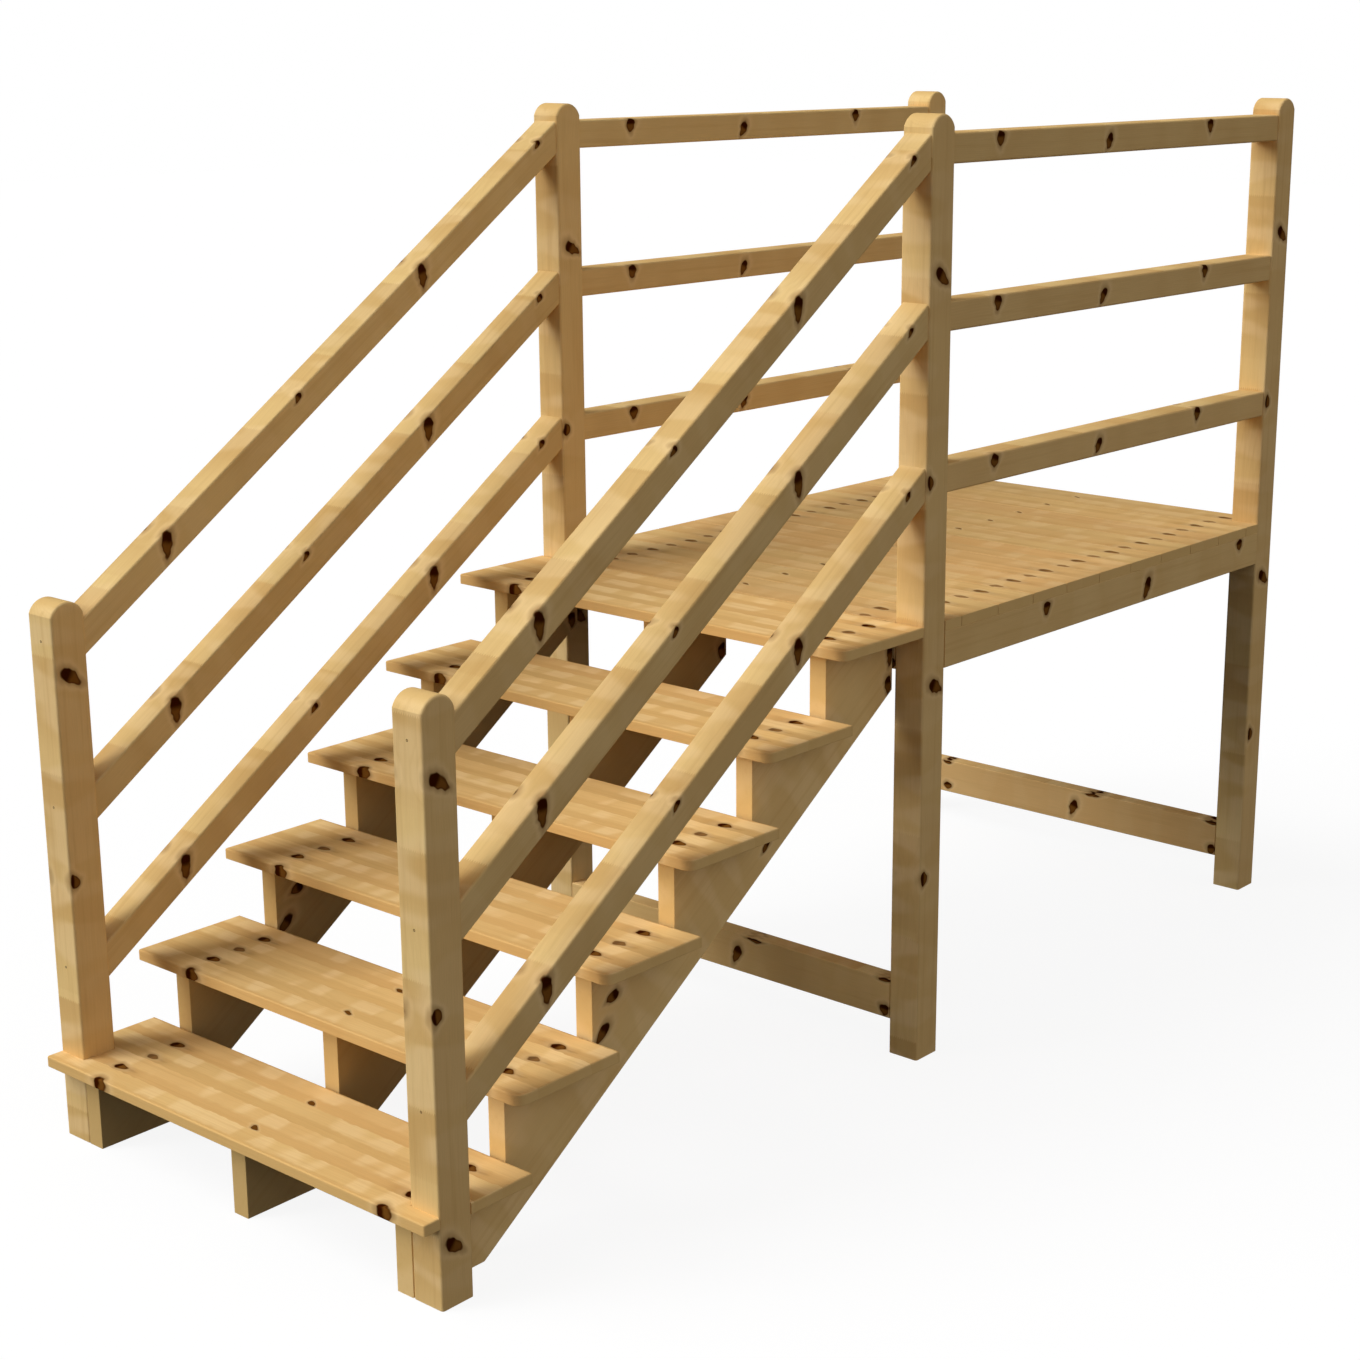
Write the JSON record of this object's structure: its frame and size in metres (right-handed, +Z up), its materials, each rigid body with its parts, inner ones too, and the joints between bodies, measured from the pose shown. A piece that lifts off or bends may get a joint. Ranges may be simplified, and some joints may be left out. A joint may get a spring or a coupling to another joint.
{
  "type": "wooden deck stairs",
  "caption": "Straight pine stairs with open risers on notched stringers, leading to a small raised deck, with round-headed posts and level and sloping rails on both sides.",
  "frame": {"origin": "on the ground, at the middle of the bounding box's base", "axes": "+Z up; +Y along the walking line, from the foot of the stairs towards the deck; +X to the right when walking up"},
  "size_m": [1.18, 3.102, 2.1339],
  "materials": {
    "pine_posts": "planed, clear oiled",
    "pine_rails": "planed, clear oiled",
    "pine_boards": "planed, clear oiled",
    "pine_stringers": "planed, clear oiled",
    "pine_joists": "planed, clear oiled"
  },
  "bodies": {
    "root": {"back_joist": "pine_joists", "back_tie": "pine_joists", "centre_joist": "pine_joists", "deck_board_01": "pine_boards", "deck_board_02": "pine_boards", "deck_board_03": "pine_boards", "deck_board_04": "pine_boards", "deck_board_05": "pine_boards", "deck_board_06": "pine_boards", "deck_board_07": "pine_boards", "deck_board_08": "pine_boards", "deck_board_09": "pine_boards", "deck_board_10": "pine_boards", "deck_board_11": "pine_boards", "deck_post_back_left": "pine_posts", "deck_post_back_right": "pine_posts", "deck_post_front_left": "pine_posts", "deck_post_front_right": "pine_posts", "deck_rail_left_bottom": "pine_rails", "deck_rail_left_middle": "pine_rails", "deck_rail_left_top": "pine_rails", "deck_rail_right_bottom": "pine_rails", "deck_rail_right_middle": "pine_rails", "deck_rail_right_top": "pine_rails", "front_joist": "pine_joists", "front_tie": "pine_joists", "landing_nosing": "pine_boards", "newel_post_left": "pine_posts", "newel_post_right": "pine_posts", "side_joist_left": "pine_joists", "side_joist_right": "pine_joists", "stair_rail_left_bottom": "pine_rails", "stair_rail_left_middle": "pine_rails", "stair_rail_left_top": "pine_rails", "stair_rail_right_bottom": "pine_rails", "stair_rail_right_middle": "pine_rails", "stair_rail_right_top": "pine_rails", "stringer_centre": "pine_stringers", "stringer_left": "pine_stringers", "stringer_right": "pine_stringers", "tread_1": "pine_boards", "tread_2": "pine_boards", "tread_3": "pine_boards", "tread_4": "pine_boards", "tread_5": "pine_boards"}
  },
  "joints": []
}
